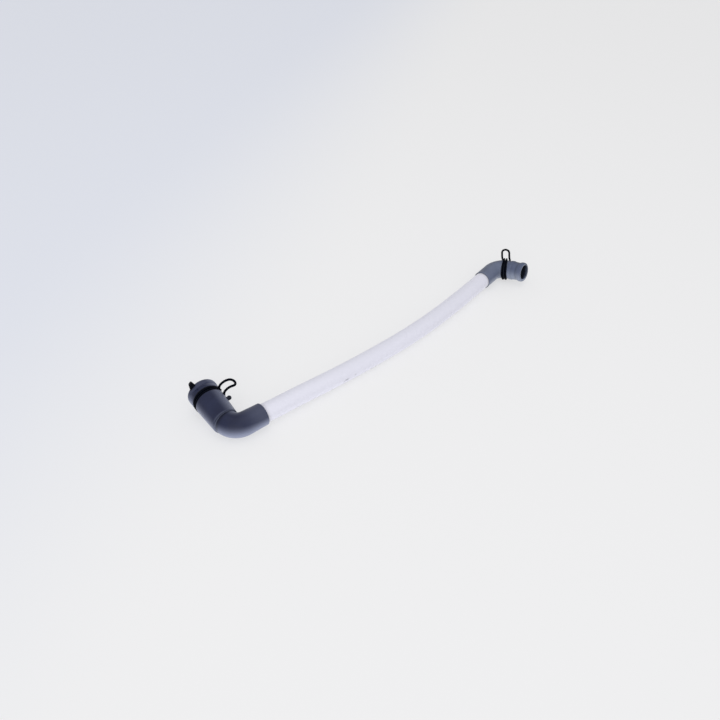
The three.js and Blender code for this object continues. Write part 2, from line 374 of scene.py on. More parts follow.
def swept_rings(line: Array, radii: Array, ref: Array, sides: int) -> Array:
    """Puts a ring of points round each sample of a line, square to it.

    A ring's first direction is the line's own direction crossed with ref, and its second is square to both.

    Args:
        line: The centre line's samples, one a row.
        radii: Each ring's radius.
        ref: A direction, or one for each sample, that is never along the line.
        sides: How many points a ring has.

    Returns:
        The points as an array of samples by sides by three.
    """
    along = unit(np.gradient(line, axis=0))
    first = unit(np.cross(along, np.broadcast_to(ref, line.shape)))
    second = np.cross(along, first)
    turn = np.linspace(0.0, 2.0 * np.pi, sides, endpoint=False)[None, :, None]
    spoke = np.cos(turn) * first[:, None] + np.sin(turn) * second[:, None]
    return line[:, None] + radii[:, None, None] * spoke


def capped(rings: Array) -> tuple[Array, Quads]:
    """Joins rings of points into a tube and closes each end with a fan round the ring's middle.

    Args:
        rings: The points as an array of samples by sides by three.

    Returns:
        The points, one a row, and the faces.
    """
    rows, sides = rings.shape[:2]
    poles = np.stack([rings[0].mean(axis=0), rings[-1].mean(axis=0)])
    points = np.concatenate([rings.reshape(-1, 3), poles])
    side = np.arange(sides)
    next_side = (side + 1) % sides
    pole = rows * sides
    near_pole = np.full(sides, pole)
    start = np.stack([next_side, side, near_pole, near_pole], axis=1)
    last = (rows - 1) * sides
    far_pole = np.full(sides, pole + 1)
    end = np.stack([last + side, last + next_side, far_pole, far_pole], axis=1)
    return points, np.concatenate([grid_quads(rows, sides, False), start, end])


# Finishes


@dataclass(frozen=True)
class Pattern:
    """A noise pattern over an object's own coordinates.

    Scale is how many of its features fit in a metre, detail how many finer layers it has, and stretch a
    factor on its scale along each axis.
    """

    scale: float
    detail: float
    stretch: Place = (1.0, 1.0, 1.0)


class Nodes:
    """A short hand for filling a node tree."""

    def __init__(self, tree: bpy.types.NodeTree) -> None:
        """Starts on a tree."""
        self.tree = tree

    def add(self, kind: str, **settings: object) -> bpy.types.Node:
        """Adds a node.

        Args:
            kind: Which kind of node.
            settings: Its properties, by their names.

        Returns:
            The node.
        """
        node = self.tree.nodes.new(kind)
        for key, value in settings.items():
            setattr(node, key, value)
        return node

    def link(self, source: Socket, target: Socket) -> None:
        """Joins two sockets."""
        self.tree.links.new(source, target)

    def chosen(self, share: Socket, first: Socket, second: Socket) -> Socket:
        """Mixes two shaders.

        Args:
            share: The second one's share.
            first: The first shader.
            second: The second shader.

        Returns:
            The socket of the result.
        """
        node = self.add("ShaderNodeMixShader")
        for target, source in enumerate((share, first, second)):
            self.link(source, node.inputs[target])
        return node.outputs["Shader"]

    def direct_share(self, camera_share: float) -> Socket:
        """Gives a share by the kind of ray.

        It is one for rays that come by a reflection or through a piece, and none for the light on surfaces.

        Args:
            camera_share: The share for the camera's own rays.

        Returns:
            The socket that holds the share.
        """
        rays = self.add("ShaderNodeLightPath")
        seen = self.add("ShaderNodeMath", operation="MULTIPLY")
        seen.inputs[1].default_value = camera_share
        bounced = self.add("ShaderNodeMath", operation="MAXIMUM")
        share = self.add("ShaderNodeMath", operation="MAXIMUM")
        self.link(rays.outputs["Is Camera Ray"], seen.inputs[0])
        self.link(rays.outputs["Is Glossy Ray"], bounced.inputs[0])
        self.link(rays.outputs["Is Transmission Ray"], bounced.inputs[1])
        self.link(seen.outputs["Value"], share.inputs[0])
        self.link(bounced.outputs["Value"], share.inputs[1])
        return share.outputs["Value"]


class MaterialNodes(Nodes):
    """A short hand for filling a material's node tree."""

    def __init__(self, name: str) -> None:
        """Starts a material that has a principled shader and an output.

        Args:
            name: The material's name.
        """
        self.material = bpy.data.materials.new(name)
        self.material.use_nodes = True
        super().__init__(self.material.node_tree)
        self.shader = self.tree.nodes["Principled BSDF"]

    def noise(self, pattern: Pattern) -> Socket:
        """Adds a noise pattern.

        Args:
            pattern: Its scale, detail and stretch.

        Returns:
            The socket that holds its value.
        """
        coords = self.add("ShaderNodeTexCoord")
        mapping = self.add("ShaderNodeMapping")
        mapping.inputs["Scale"].default_value = pattern.stretch
        noise = self.add("ShaderNodeTexNoise")
        noise.inputs["Scale"].default_value = pattern.scale
        noise.inputs["Detail"].default_value = pattern.detail
        self.link(coords.outputs["Object"], mapping.inputs["Vector"])
        self.link(mapping.outputs["Vector"], noise.inputs["Vector"])
        return noise.outputs["Fac"]

    def ranged(self, source: Socket, span: Span, source_span: Span = (0.3, 0.7)) -> Socket:
        """Maps a value from its own span to another, smoothly and no further.

        Args:
            source: The socket that holds the value.
            span: What to give at the start and at the end of the value's span.
            source_span: The value's span.

        Returns:
            The socket of the result.
        """
        node = self.add("ShaderNodeMapRange", interpolation_type="SMOOTHSTEP")
        limits = (*source_span, *span)
        for name, limit in zip(("From Min", "From Max", "To Min", "To Max"), limits):
            node.inputs[name].default_value = limit
        self.link(source, node.inputs["Value"])
        return node.outputs["Result"]

    def mixed(self, share: Socket, first: Colour, second: Colour) -> Socket:
        """Blends two colours.

        Args:
            share: The second one's share.
            first: The first colour.
            second: The second colour.

        Returns:
            The socket of the result.
        """
        node = self.add("ShaderNodeMix", data_type="RGBA")
        node.inputs["A"].default_value = (*first, 1.0)
        node.inputs["B"].default_value = (*second, 1.0)
        self.link(share, node.inputs["Factor"])
        return node.outputs["Result"]

    def ramp(self, way: Place, span: Span) -> Socket:
        """Adds a smooth rise from zero to one along a direction.

        Args:
            way: The direction.
            span: How far along it from the origin the rise starts, and where it is complete.

        Returns:
            The socket that holds the rise.
        """
        coords = self.add("ShaderNodeTexCoord")
        along = self.add("ShaderNodeVectorMath", operation="DOT_PRODUCT")
        along.inputs[1].default_value = way
        self.link(coords.outputs["Object"], along.inputs[0])
        return self.ranged(along.outputs["Value"], (0.0, 1.0), span)

    def measure(self, name: str) -> Socket:
        """Gives the socket of one of the piece's own measures, which its points carry."""
        return self.add("ShaderNodeAttribute", attribute_name=name).outputs["Fac"]

    def painted_light_mix(self, colour: Socket, pale: Colour) -> Socket:
        """Blends a colour to a pale one by the piece's own pale measure, which is painted light.

        Args:
            colour: The colour's socket.
            pale: The pale colour.

        Returns:
            The socket of the result.
        """
        node = self.add("ShaderNodeMix", data_type="RGBA")
        node.inputs["B"].default_value = (*pale, 1.0)
        self.link(self.measure("pale"), node.inputs["Factor"])
        self.link(colour, node.inputs["A"])
        return node.outputs["Result"]

    def shaded(self, colour: Socket) -> Socket:
        """Darkens or lightens a colour by the piece's own shade measure: painted shade and light, and the
        tube's scuffs.

        Args:
            colour: The colour's socket.

        Returns:
            The socket of the result.
        """
        node = self.add("ShaderNodeVectorMath", operation="SCALE")
        self.link(colour, node.inputs["Vector"])
        self.link(self.measure("shade"), node.inputs["Scale"])
        return node.outputs["Vector"]

    def coat(self, colour: Socket, sheen: Pattern, roughness: Span, specular: float) -> None:
        """Gives the shader its colour and how it shines.

        Args:
            colour: The colour's socket.
            sheen: The pattern by which the roughness drifts.
            roughness: The roughness at the pattern's low and high values.
            specular: How strongly the surface reflects, from zero to one.
        """
        self.link(colour, self.shader.inputs["Base Color"])
        self.link(self.ranged(self.noise(sheen), roughness), self.shader.inputs["Roughness"])
        self.shader.inputs["Specular IOR Level"].default_value = specular

    def bumped(self, grain: Pattern, distance: float) -> None:
        """Raises the surface's shading by a pattern.

        Args:
            grain: The pattern.
            distance: How high its highest point stands.
        """
        node = self.add("ShaderNodeBump")
        node.inputs["Strength"].default_value = 1.0
        node.inputs["Distance"].default_value = distance
        self.link(self.noise(grain), node.inputs["Height"])
        self.link(node.outputs["Normal"], self.shader.inputs["Normal"])


@dataclass(frozen=True)
class RubberFinish:
    """Satin rubber: a dark colour that drifts to a bloom, blended to a pale one as painted light, with a fine
    moulded grain.
    """

    name: str
    colour: Colour
    bloom: Colour
    pale: Colour
    drift: Pattern = Pattern(38.0, 3.0)
    sheen: Pattern = Pattern(160.0, 4.0)
    roughness: Span = (0.32, 0.44)
    specular: float = 0.14
    grain: Pattern = Pattern(2400.0, 2.0)
    grain_height: float = 0.00003

    def material(self) -> Material:
        """Builds the rubber's material.

        Returns:
            The material.
        """
        nodes = MaterialNodes(self.name)
        drift = nodes.ranged(nodes.noise(self.drift), (0.0, 1.0))
        colour = nodes.shaded(nodes.painted_light_mix(nodes.mixed(drift, self.colour, self.bloom), self.pale))
        nodes.coat(colour, self.sheen, self.roughness, self.specular)
        nodes.bumped(self.grain, self.grain_height)
        return nodes.material


@dataclass(frozen=True)
class TubeFinish:
    """Pale plastic with faint streaks along it from how it was drawn."""

    name: str
    colour: Colour
    shadow: Colour
    streaks: Pattern = Pattern(90.0, 2.0, (0.06, 1.0, 1.0))
    sheen: Pattern = Pattern(90.0, 3.0)
    roughness: Span = (0.26, 0.36)
    specular: float = 0.35

    def material(self) -> Material:
        """Builds the plastic's material.

        Returns:
            The material.
        """
        nodes = MaterialNodes(self.name)
        streaks = nodes.ranged(nodes.noise(self.streaks), (0.0, 1.0))
        colour = nodes.shaded(nodes.mixed(streaks, self.colour, self.shadow))
        nodes.coat(colour, self.sheen, self.roughness, self.specular)
        return nodes.material


@dataclass(frozen=True)
class WireFinish:
    """Black coated spring wire, dull, with lighter spots of wear and a finely pitted coat."""

    name: str
    colour: Colour
    worn_factor: float = 1.5
    wear: Pattern = Pattern(420.0, 3.0)
    wear_span: Span = (0.45, 0.75)
    sheen: Pattern = Pattern(600.0, 2.0)
    roughness: Span = (0.36, 0.5)
    specular: float = 0.02
    pits: Pattern = Pattern(3000.0, 2.0)
    pit_depth: float = 0.00002

    def material(self) -> Material:
        """Builds the wire's material.

        Returns:
            The material.
        """
        nodes = MaterialNodes(self.name)
        wear = nodes.ranged(nodes.noise(self.wear), (0.0, 1.0), self.wear_span)
        red, green, blue = (self.worn_factor * channel for channel in self.colour)
        colour = nodes.shaded(nodes.mixed(wear, self.colour, (red, green, blue)))
        nodes.coat(colour, self.sheen, self.roughness, self.specular)
        nodes.bumped(self.pits, self.pit_depth)
        return nodes.material


# A rubber's last colour is the pale one that its painted light blends to.
SLATE_RUBBER = RubberFinish(
    "slate_rubber_satin", linear(33, 37, 59), linear(40, 45, 69), linear(172, 179, 206)
)
GREY_RUBBER = RubberFinish(
    "grey_rubber_satin", linear(80, 87, 112), linear(92, 101, 124), linear(186, 194, 212)
)
# The nub is of the large elbow's rubber, drawn darker than it as painted shade.
SHADED_NUB_RUBBER = RubberFinish("nub_rubber_painted_shade", linear(22, 25, 38), linear(30, 34, 48), linear(60, 64, 80))
# The ear is drawn near black, far darker than the elbow's rubber, as painted shade.
SHADED_EAR_RUBBER = RubberFinish("ear_rubber_painted_shade", linear(6, 8, 15), linear(10, 12, 20), linear(20, 22, 32))
PALE_TUBE = TubeFinish("pale_tube_satin", linear(223, 223, 235), linear(221, 221, 233))
BLACK_WIRE = WireFinish("black_wire_coat", linear(3, 5, 14))


def dress(piece: Piece, material: Material) -> None:
    """Gives a piece its finish, and lets it ride on the hose's body.

    Args:
        piece: The piece.
        material: Its finish.
    """
    piece.data.materials.append(material)
    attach(piece, BODY)
    LOG.info("%s: %d faces", piece.name, len(piece.data.polygons))


# The shape of an elbow


@dataclass(frozen=True)
class ArmFrame:
    """A place on an elbow's arm with three directions: out of its mouth, up, and to the side."""

    place: Array
    along: Array
    up: Array
    side: Array


@dataclass(frozen=True)
class ElbowLine:
    """An elbow's centre line: straight through the cuff, round the bend, then straight down the arm.

    Headings are degrees from +X, and roll lifts the far arm.
    """

    lip: Place
    heading: float
    roll: float
    cuff_length: float
    bend_radius: float
    sweep: float
    arm_length: float

    @property
    def bend_length(self) -> float:
        """The bend's length, its radius times its angle."""
        return self.bend_radius * np.radians(self.sweep)

    @property
    def length(self) -> float:
        """The whole line's length."""
        return self.cuff_length + self.bend_length + self.arm_length

    def at(self, distance: Array) -> tuple[Array, Array, Array, Array]:
        """Gives the places at some distances from the lip, with three directions at each.

        The bend turns the direction along towards the inward one by the distance over the bend's radius.

        Args:
            distance: The distances from the lip.

        Returns:
            The places, and the directions along, inward to the bend's middle, and across.
        """
        angle, lift = np.radians([self.heading, self.roll])
        start = np.array([np.cos(angle), np.sin(angle), 0.0])
        level = np.array([np.sin(angle), -np.cos(angle), 0.0])
        inner = level * np.cos(lift) + UPRIGHT * np.sin(lift)
        past = np.asarray(distance)[..., None] - self.cuff_length
        bent = np.clip(past, 0.0, self.bend_length) / self.bend_radius
        along = start * np.cos(bent) + inner * np.sin(bent)
        inward = inner * np.cos(bent) - start * np.sin(bent)
        straight = self.cuff_length + np.minimum(past, 0.0)
        place = np.array(self.lip) + start * (straight + self.bend_radius * np.sin(bent))
        place = place + inner * self.bend_radius * (1.0 - np.cos(bent))
        place = place + along * np.maximum(past - self.bend_length, 0.0)
        return place, along, inward, np.cross(inward, along)

    def arm_frame(self, from_mouth: float) -> ArmFrame:
        """Gives the arm's frame, with up square to the arm.

        Args:
            from_mouth: How far from the mouth it is.

        Returns:
            The frame.
        """
        place, along, _, _ = self.at(np.array(self.length - from_mouth))
        up = unit(UPRIGHT - along * along[2])
        return ArmFrame(place, along, up, np.cross(up, along))

    def from_mouth(self, section: Array) -> Array:
        """Gives how far from the mouth each point of a section is, along the line."""
        return self.length - section[:, 1]

    def bent_turning(self, section: Array, sides: int) -> Array:
        """Turns a section round the line.

        A section point is a radius and a distance from the lip. Its ring is the place at that distance, plus
        the radius times the cosine inward and the sine across.

        Args:
            section: The section's points, one a row.
            sides: How many points a ring has.

        Returns:
            The rings, as an array of section points by sides by three.
        """
        place, _, inward, across = self.at(section[:, 1])
        turn = np.linspace(0.0, 2.0 * np.pi, sides, endpoint=False)[None, :, None]
        spoke = np.cos(turn) * inward[:, None] + np.sin(turn) * across[:, None]
        return place[:, None] + section[:, 0, None, None] * spoke


def from_wire(points: Array, wire_line: Array, reach: float) -> Array:
    """Gives the step to each point from the nearest sample of a wire's centre line.

    Args:
        points: The points, one a row.
        wire_line: The wire's centre line, one sample a row.
        reach: How near a point is to the wire's box to be measured. Others get a long step, straight up.

    Returns:
        The steps, one a row.
    """
    low = wire_line.min(axis=0) - reach
    high = wire_line.max(axis=0) + reach
    near = np.flatnonzero(np.all((points > low) & (points < high), axis=1))
    steps = np.tile(UPRIGHT, (len(points), 1))
    for block in np.array_split(near, max(1, len(near) // POINTS_AT_ONCE)):
        gap = points[block][:, None] - wire_line[None]
        nearest = np.linalg.norm(gap, axis=2).argmin(axis=1)
        steps[block] = gap[np.arange(len(block)), nearest]
    return steps


def pressed(points: Array, wire_line: Array, wire_radius: float) -> Array:
    """Pushes rubber away from a wire that lies in it.

    A point nearer to the wire than its radius and the softness moves straight away from it, by the square of
    what it lacks over four times the softness. Where it lacks more than twice the softness, it moves by what
    it lacks less the softness.

    Args:
        points: The rubber's points, one a row.
        wire_line: The wire's centre line, one sample a row.
        wire_radius: The wire's radius.

    Returns:
        The moved points.
    """
    reach = wire_radius + PRESS_SOFTNESS
    gap = from_wire(points, wire_line, reach)
    distance = np.linalg.norm(gap, axis=1)
    lack = np.maximum(reach - distance, 0.0)
    soft = np.where(lack < 2.0 * PRESS_SOFTNESS, lack**2 / (4.0 * PRESS_SOFTNESS), lack - PRESS_SOFTNESS)
    return points + gap / distance[:, None] * soft[:, None]


def wire_shade(points: Array, wire_line: Array, wire_radius: float, reach: float) -> Array:
    """Gives how dark rubber is drawn close to a wire, where little light gets in.

    Args:
        points: The rubber's points, one a row.
        wire_line: The wire's centre line, one sample a row.
        wire_radius: The wire's radius.
        reach: How far from the wire's surface the rubber is as it is again.

    Returns:
        The shade of each point, one for as it is and less for darker.
    """
    distance = np.linalg.norm(from_wire(points, wire_line, wire_radius + reach), axis=1)
    clear = smooth_rise(distance, wire_radius + 0.5 * reach, wire_radius + reach)
    return WIRE_DARKEST + (1.0 - WIRE_DARKEST) * clear


# The tube


@dataclass(frozen=True)
class Scuff:
    """A small dark mark on the tube: how far along it, at what angle from its top, how big and how dark."""

    along: float
    degrees: float
    half_length: float
    half_width: float
    depth: float


@dataclass
class HoseTube:
    """The long tube: one smooth hollow pipe, from inside one cuff to inside the other."""

    radius: float = TUBE_RADIUS
    bore: float = TUBE_BORE
    steps: int = 500
    sides: int = 88
    cuff_shade: float = 0.86
    cuff_shade_reach: float = 0.006
    painted_underside_light: float = 0.2
    painted_underside_span: Span = (-0.35, 0.6)
    sharp_angle: float = 0.9
    path_step: int = 6
    finish: TubeFinish = PALE_TUBE
    route: list[Place] = field(default_factory=lambda: list(TUBE_ROUTE))
    scuffs: tuple[Scuff, ...] = (
        Scuff(0.1300, 95.0, 0.0030, 0.0010, 0.55),
        Scuff(0.1261, 104.0, 0.0012, 0.0014, 0.25),
        Scuff(0.1430, 90.0, 0.0014, 0.0010, 0.28),
    )

    def line(self) -> Array:
        """Gives the tube's centre line, in even steps."""
        return route_curve(np.array(self.route), self.steps)

    def shade(self, line: Array) -> Array:
        """Paints shade on the tube a little where it enters the cuffs.

        Args:
            line: The tube's centre line.

        Returns:
            The shade of each of its samples, one for as it is and less for darker.
        """
        inside_large = 1.0 - smooth_rise(line[:, 0], TUBE_START[0], TUBE_START[0] + self.cuff_shade_reach)
        inside_small = smooth_rise(line[:, 0], TUBE_END[0] - self.cuff_shade_reach, TUBE_END[0])
        return 1.0 - (1.0 - self.cuff_shade) * np.maximum(inside_large, inside_small)

    def scuffed(self, outer: Array, line: Array) -> Array:
        """Gives how dark the outer skin is where it is scuffed.

        Each scuff is a bell curve of the distances along and round the tube from its middle.

        Args:
            outer: The outer skin's points, as an array of steps by sides by three.
            line: The tube's centre line.

        Returns:
            The shade of each point, one for clean and less for darker.
        """
        run = run_along(line)
        spoke = unit(outer - line[:, None])
        heading = unit(np.gradient(line, axis=0))
        up = unit(UPRIGHT - heading * (heading @ UPRIGHT)[:, None])
        side = np.cross(heading, up)
        angle = np.arctan2(np.einsum("ijk,ik->ij", spoke, side), np.einsum("ijk,ik->ij", spoke, up))
        clean = np.ones(angle.shape)
        for scuff in self.scuffs:
            along = (run - scuff.along) / scuff.half_length
            across = (angle - np.radians(scuff.degrees)) * self.radius / scuff.half_width
            clean -= scuff.depth * np.exp(-(along[:, None] ** 2) - across**2)
        return clean

    def build(self) -> Piece:
        """Builds the tube as an outer skin, an inner skin and a flat ring at each end, and dresses it.

        Returns:
            The tube.
        """
        line = self.line()
        outer = swept_rings(line, np.full(self.steps, self.radius), UPRIGHT, self.sides)
        inner = swept_rings(line, np.full(self.steps, self.bore), UPRIGHT, self.sides)
        rings = np.concatenate([outer, inner[::-1]])
        # Painted light on the outer skin where it faces down, painted shade where it enters the cuffs; the
        # scuffs are real.
        low = smooth_rise(-unit(outer - line[:, None])[..., 2], *self.painted_underside_span)
        outer_shade = self.shade(line)[:, None] * self.scuffed(outer, line) * (1.0 + self.painted_underside_light * low)
        inner_shade = np.repeat(self.shade(line)[::-1], self.sides)
        shade = np.concatenate([outer_shade.ravel(), inner_shade])
        piece = put_mesh("tube", rings.reshape(-1, 3), grid_quads(len(rings), self.sides, True), shade)
        piece.data.set_sharp_from_angle(angle=self.sharp_angle)
        dress(piece, self.finish.material())
        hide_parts("hose_tube")
        return piece


# The elbows


@dataclass(frozen=True)
class Mark:
    """A soft band across a surface: where its middle is, how wide it is and how strongly it shows."""

    middle: float
    width: float
    strength: float

    def at(self, distance: Array) -> Array:
        """Gives how strong it is at some distances, by a bell curve round its middle."""
        return self.strength * np.exp(-(((distance - self.middle) / self.width) ** 2))


def in_bore(section: Array) -> Mask:
    """Tells which points of an elbow's section, from its lip to its mouth and back, are inside it."""
    return np.arange(len(section)) > section[:, 1].argmax() + RIM_POINTS


def painted_reflection_flanks(section: Array, rings: Array, underside: float, side: float) -> Array:
    """Gives how pale the points of an elbow's outside are, from the way that they face, as a painted
    reflection.

    Args:
        section: The elbow's section.
        rings: The elbow's closed grid of points.
        underside: How pale the points are that face down.
        side: How pale the points are that face away from the hose's large end.

    Returns:
        The share of pale colour, as an array of section points by sides.
    """
    normals = grid_normals(rings)
    # Painted reflection of the table: faces turned down or to the right are blended to the pale colour.
    low = underside * smooth_rise(-normals[..., 2], *PAINTED_REFLECTION_DOWN)
    right = side * smooth_rise(normals[..., 0], *PAINTED_REFLECTION_RIGHT)
    return np.maximum(low, right) * ~in_bore(section)[:, None]


class Elbow(ABC):
    """What both elbows share: a section turned round a bent line, and pressed in under the clamp's wire."""

    line: ElbowLine
    rounding: float
    section_points: int
    wire_shade_reach: float

    @abstractmethod
    def corners(self) -> tuple[Corners, Corners]:
        """Gives the section's corners as radii and distances.

        Returns:
            The cuff's and bend's, with distances from the lip, and the arm's and its bore's, from the mouth.
        """

    @abstractmethod
    def shade(self, section: Array, rings: Array) -> Array:
        """Gives how dark the points are drawn, as painted shade.

        Args:
            section: The elbow's section.
            rings: The elbow's closed grid of points.

        Returns:
            One for as it is and less for darker, as an array of section points by sides.
        """

    @abstractmethod
    def pale(self, section: Array, rings: Array) -> Array:
        """Gives how far the points are blended to the pale colour, as painted light.

        Args:
            section: The elbow's section.
            rings: The elbow's closed grid of points.

        Returns:
            From zero to one, as an array of section points by sides.
        """

    def section(self) -> Array:
        """Gives the section, up the outside from lip to mouth, down the bore and round the tube's socket.

        Returns:
            The section's points, one a row, each a radius and a distance from the lip.
        """
        outside, arm = self.corners()
        from_lip = [(radius, self.line.length - distance) for radius, distance in arm]
        socket_end = TUBE_INSERTION + SOCKET_END_CLEARANCE
        socket_radius = TUBE_RADIUS + SOCKET_CLEARANCE
        inside = [
            (TUBE_BORE, self.line.cuff_length),
            (TUBE_BORE, socket_end),
            (socket_radius, socket_end),
            (socket_radius, 0.0),
        ]
        return rounded_section(np.array(outside + from_lip + inside), self.rounding, self.section_points)

    def mould(self, name: str, clamp_line: Array, wire_radius: float) -> Piece:
        """Makes the moulding's mesh.

        Args:
            name: The piece's name.
            clamp_line: The centre line of the clamp's wire.
            wire_radius: The wire's radius.

        Returns:
            The moulding, without its finish.
        """
        section = self.section()
        rings = self.line.bent_turning(section, ELBOW_SIDES)
        points = pressed(rings.reshape(-1, 3), clamp_line, wire_radius)
        # Painted shade on the rubber right beside the clamp's wire.
        painted_wire_shade = wire_shade(points, clamp_line, wire_radius, self.wire_shade_reach)
        shade = self.shade(section, rings).ravel() * painted_wire_shade
        quads = grid_quads(len(section), ELBOW_SIDES, True)
        return put_mesh(name, points, quads, shade, self.pale(section, rings).ravel())


@dataclass
class LargeElbow(Elbow):
    """The elbow with the wide sleeve, one rubber moulding with a nub on its side and an ear on its rim."""

    line: ElbowLine = ElbowLine(
        lip=TUBE_START, heading=175.0, roll=3.3, cuff_length=0.0226,
        bend_radius=0.0156, sweep=93.8, arm_length=0.0543,
    )
    lip_radius: float = 0.0130
    bend_outside: float = 0.0143
    shoulder_radius: float = 0.0154
    shoulder_from_mouth: float = 0.0564
    body_radius: float = 0.0172
    rim_radius: float = 0.0179
    ridge_radius: float = 0.0176
    seat_radius: float = 0.0148
    bore_at_shoulder: float = 0.0124
    bore_at_mouth: float = 0.0138
    rounding: float = 0.00028
    section_points: int = 430
    wire_shade_reach: float = 0.0012
    # Painted shade: the crease under the shoulder, the clamp's seat and the deep bore are drawn darker.
    crease: Mark = Mark(0.0575, 0.0015, 0.5)
    seat_painted_shade: float = 0.5
    seat_near: Span = (0.0125, 0.0137)
    seat_far: Span = (0.0191, 0.0205)
    bore_painted_shade: float = 0.6
    bore_span: Span = (0.0, 0.025)
    painted_reflection_underside: float = 0.78
    painted_reflection_side: float = 0.36
    painted_light_cuff: float = 0.11
    painted_light_cuff_span: Span = (0.006, 0.0346)
    shoulder_edge_highlight: Mark = Mark(0.0554, 0.0007, 0.10)
    rim_highlight: float = 0.07
    rim_highlight_span: Span = (0.0050, 0.0085)
    finish: RubberFinish = SLATE_RUBBER

    def corners(self) -> tuple[Corners, Corners]:
        """Gives the section's corners as radii and distances.

        Returns:
            The outside from the lip to the shoulder, and from the mouth on, the sleeve's outside and bore.
        """
        line = self.line
        bend_end = line.cuff_length + line.bend_length
        shoulder = line.length - self.shoulder_from_mouth
        outside = [
            (self.lip_radius - 0.0004, 0.0),
            (self.lip_radius, 0.0006),
            (self.lip_radius + 0.0001, 0.008),
            (self.lip_radius + 0.0006, line.cuff_length),
            (self.bend_outside, bend_end - 0.006),
            (self.bend_outside, shoulder - 0.0016),
            (self.bend_outside - 0.0004, shoulder - 0.0003),
            (self.shoulder_radius - 0.0002, shoulder),
            (self.shoulder_radius + 0.0002, shoulder + 0.0012),
        ]
        arm = [
            (self.body_radius, 0.0213),
            (self.body_radius, 0.0199),
            (self.seat_radius, 0.0191),
            (self.seat_radius + 0.0003, 0.0165),
            (self.seat_radius, 0.0139),
            (self.body_radius, 0.0129),
            (self.ridge_radius, 0.0117),
            (self.ridge_radius + 0.0001, 0.0095),
            (self.ridge_radius - 0.0007, 0.0081),
            (self.ridge_radius - 0.0006, 0.0072),
            (self.rim_radius - 0.0002, 0.0058),
            (self.rim_radius, 0.0040),
            (self.rim_radius - 0.0001, 0.0011),
            (self.rim_radius - 0.0007, 0.0002),
            (self.rim_radius - 0.0014, 0.0),
            (self.bore_at_mouth + 0.0007, 0.0),
            (self.bore_at_mouth, 0.0012),
            (self.bore_at_mouth, 0.0060),
            (self.bore_at_shoulder, 0.0505),
            (TUBE_BORE, 0.0532),
        ]
        return outside, arm

    def shade(self, section: Array, rings: Array) -> Array:
        """Paints shade in the crease under the shoulder, in the seat of the clamp and deep in the bore.

        Args:
            section: The elbow's section.
            rings: The elbow's closed grid of points.

        Returns:
            The shade of each point.
        """
        from_mouth = self.line.from_mouth(section)
        seat = smooth_rise(from_mouth, *self.seat_near) * (1.0 - smooth_rise(from_mouth, *self.seat_far))
        bore = in_bore(section) * smooth_rise(from_mouth, *self.bore_span)
        shade = 1.0 - self.crease.at(from_mouth) - self.seat_painted_shade * seat - self.bore_painted_shade * bore
        return np.broadcast_to(shade[:, None], rings.shape[:2])

    def pale(self, section: Array, rings: Array) -> Array:
        """Paints a reflection of the table on the underside and right side, and light on the cuff, shoulder's
        edge and rim.

        Args:
            section: The elbow's section.
            rings: The elbow's closed grid of points.

        Returns:
            How pale each point is.
        """
        from_mouth = self.line.from_mouth(section)
        # Painted light on the cuff, and painted highlights on the shoulder's edge and the rim.
        cuff = self.painted_light_cuff * (1.0 - smooth_rise(section[:, 1], *self.painted_light_cuff_span))
        rim = self.rim_highlight * (1.0 - smooth_rise(from_mouth, *self.rim_highlight_span))
        painted_light_bands = (cuff + self.shoulder_edge_highlight.at(from_mouth) + rim) * ~in_bore(section)
        return np.maximum(painted_reflection_flanks(section, rings, self.painted_reflection_underside, self.painted_reflection_side), painted_light_bands[:, None])

    def build(self, clamp_line: Array, wire_radius: float) -> Piece:
        """Builds the moulding, pressed in under the clamp's wire, and dresses it.

        Args:
            clamp_line: The centre line of the clamp's wire.
            wire_radius: The wire's radius.

        Returns:
            The moulding.
        """
        piece = self.mould("large_elbow_moulding", clamp_line, wire_radius)
        dress(piece, self.finish.material())
        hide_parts("large_elbow")
        return piece


